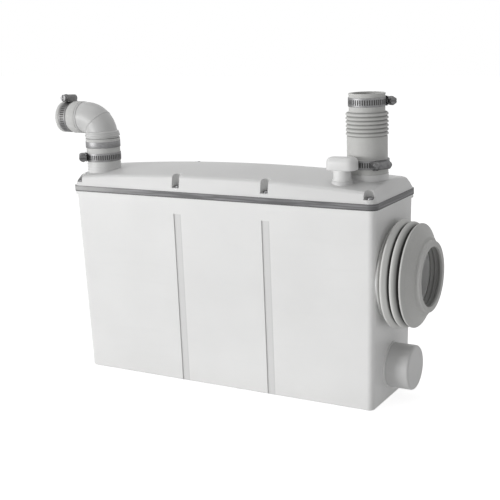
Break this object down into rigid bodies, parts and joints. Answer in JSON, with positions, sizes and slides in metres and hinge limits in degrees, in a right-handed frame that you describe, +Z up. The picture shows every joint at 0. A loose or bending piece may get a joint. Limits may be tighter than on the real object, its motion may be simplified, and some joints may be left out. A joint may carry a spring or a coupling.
{
  "type": "macerator toilet pump",
  "caption": "Slim macerator pump: grooved tank with domed lid, finned pan connector, ribbed waste inlet and swivelling discharge elbow, with motor, cutter, valves and level switch inside.",
  "frame": {"origin": "centre of the tank's flat base, on the floor", "axes": "+Z up; +X towards the end with the finned pan connector; -Y towards the front with the two grooves seen in the picture"},
  "size_m": [0.5837, 0.1639, 0.4255],
  "materials": {
    "white_shell": "fine satin moulded white",
    "grey_rubber": "matt light grey",
    "pale_rubber": "matt off-white",
    "white_fitting": "satin off-white",
    "dark_rubber": "matt dark grey",
    "grey_plastic": "satin grey",
    "black_plastic": "satin black",
    "light_plastic": "smooth off-white",
    "steel": "brushed stainless",
    "zinc_screw": "zinc plated",
    "motor_paint": "dark enamel",
    "alloy": "as cast",
    "copper": "enamelled wire",
    "core": "laminated",
    "foam": "charcoal foam"
  },
  "bodies": {
    "base": {"tank": "white_shell", "gasket": "dark_rubber", "lid": "white_shell", "lid_screws": "zinc_screw", "pan_connector": "grey_rubber", "spare_cap": "light_plastic", "inlet_sleeve": "grey_rubber", "outlet_coupling": "pale_rubber", "outlet_plain_band": "steel", "vent_stem": "white_shell", "vent_filter": "foam", "gland_body": "black_plastic", "gland_nut": "black_plastic", "gland_locknut": "black_plastic", "pump_body": "black_plastic", "pump_cover": "black_plastic", "cutter_basket": "grey_plastic", "motor_housing": "motor_paint", "motor_cap": "alloy", "motor_bearings": "steel", "motor_shaft_seal": "dark_rubber", "motor_stator": "core", "motor_windings": "copper", "inlet_chute": "grey_plastic", "riser_pipe": "grey_plastic", "valve_body": "grey_plastic", "pressure_bell": "light_plastic", "pressure_diaphragm": "dark_rubber", "pressure_seat": "light_plastic", "switch_body": "black_plastic", "control_box": "light_plastic", "control_cover": "light_plastic", "capacitor": "light_plastic", "terminal_block": "light_plastic", "clamp_inlet_upper_band": "steel", "clamp_inlet_upper_housing": "steel", "clamp_inlet_lower_band": "steel", "clamp_inlet_lower_housing": "steel", "clamp_outlet_lower_band": "steel", "clamp_outlet_lower_housing": "steel"},
    "elbow": {"outlet_elbow": "white_fitting", "outlet_cuff": "pale_rubber", "clamp_outlet_end_band": "steel", "clamp_outlet_end_housing": "steel"},
    "rotor": {"motor_rotor": "alloy", "motor_shaft": "steel", "cutter_blade": "steel", "pump_impeller": "black_plastic"},
    "vent_cap_body": {"vent_cap": "white_shell"},
    "discharge_valve": {"valve_flap": "dark_rubber"},
    "inlet_valve": {"inlet_flap": "dark_rubber"},
    "level_plunger": {"pressure_plunger": "light_plastic"},
    "level_button": {"switch_button": "light_plastic"},
    "worm_inlet_upper": {"clamp_inlet_upper_worm": "steel"},
    "worm_inlet_lower": {"clamp_inlet_lower_worm": "steel"},
    "worm_outlet_lower": {"clamp_outlet_lower_worm": "steel"},
    "worm_outlet_end": {"clamp_outlet_end_worm": "steel"}
  },
  "joints": [
    {"name": "elbow_swivel", "type": "hinge", "parent": "base", "child": "elbow", "pos_m": [-0.2139, -0.035, 0.339], "axis": [0, 0, 1], "range_deg": [-180, 180]},
    {"name": "rotor_spin", "type": "hinge", "parent": "base", "child": "rotor", "pos_m": [0.03, 0, 0.151], "axis": [0, 0, 1], "continuous": true},
    {"name": "vent_cap_lift", "type": "slide", "parent": "base", "child": "vent_cap_body", "axis": [0, 0, 1], "range_m": [0, 0.02]},
    {"name": "discharge_valve_hinge", "type": "hinge", "parent": "base", "child": "discharge_valve", "pos_m": [-0.1994, -0.035, 0.241], "axis": [0, 1, 0], "range_deg": [0, 60]},
    {"name": "inlet_valve_hinge", "type": "hinge", "parent": "base", "child": "inlet_valve", "pos_m": [0.2281, 0, 0.284], "axis": [0, -1, 0], "range_deg": [0, 70], "stiffness_Nm_per_rad": 0.004},
    {"name": "level_plunger_slide", "type": "slide", "parent": "base", "child": "level_plunger", "axis": [0, 0, 1], "range_m": [0, 0.003], "stiffness_N_per_m": 200},
    {"name": "level_button_slide", "type": "slide", "parent": "base", "child": "level_button", "axis": [0, 0, 1], "range_m": [0, 0.003]},
    {"name": "worm_inlet_upper_turn", "type": "hinge", "parent": "base", "child": "worm_inlet_upper", "pos_m": [0.22586, 0.02367, 0.4141], "axis": [0.766, -0.6428, 0], "continuous": true},
    {"name": "worm_inlet_lower_turn", "type": "hinge", "parent": "base", "child": "worm_inlet_lower", "pos_m": [0.23614, -0.0174, 0.3313], "axis": [-0.5, -0.866, 0], "continuous": true},
    {"name": "worm_outlet_lower_turn", "type": "hinge", "parent": "base", "child": "worm_outlet_lower", "pos_m": [-0.23818, -0.05538, 0.3293], "axis": [0.6428, -0.766, 0], "continuous": true},
    {"name": "worm_outlet_end_turn", "type": "hinge", "parent": "elbow", "child": "worm_outlet_end", "pos_m": [-0.2721, -0.033, 0.41593], "axis": [0, -0.9976, 0.0698], "continuous": true}
  ],
  "couplings": [
    {"joint": "level_button_slide", "follows": "level_plunger_slide", "ratio": 1}
  ]
}
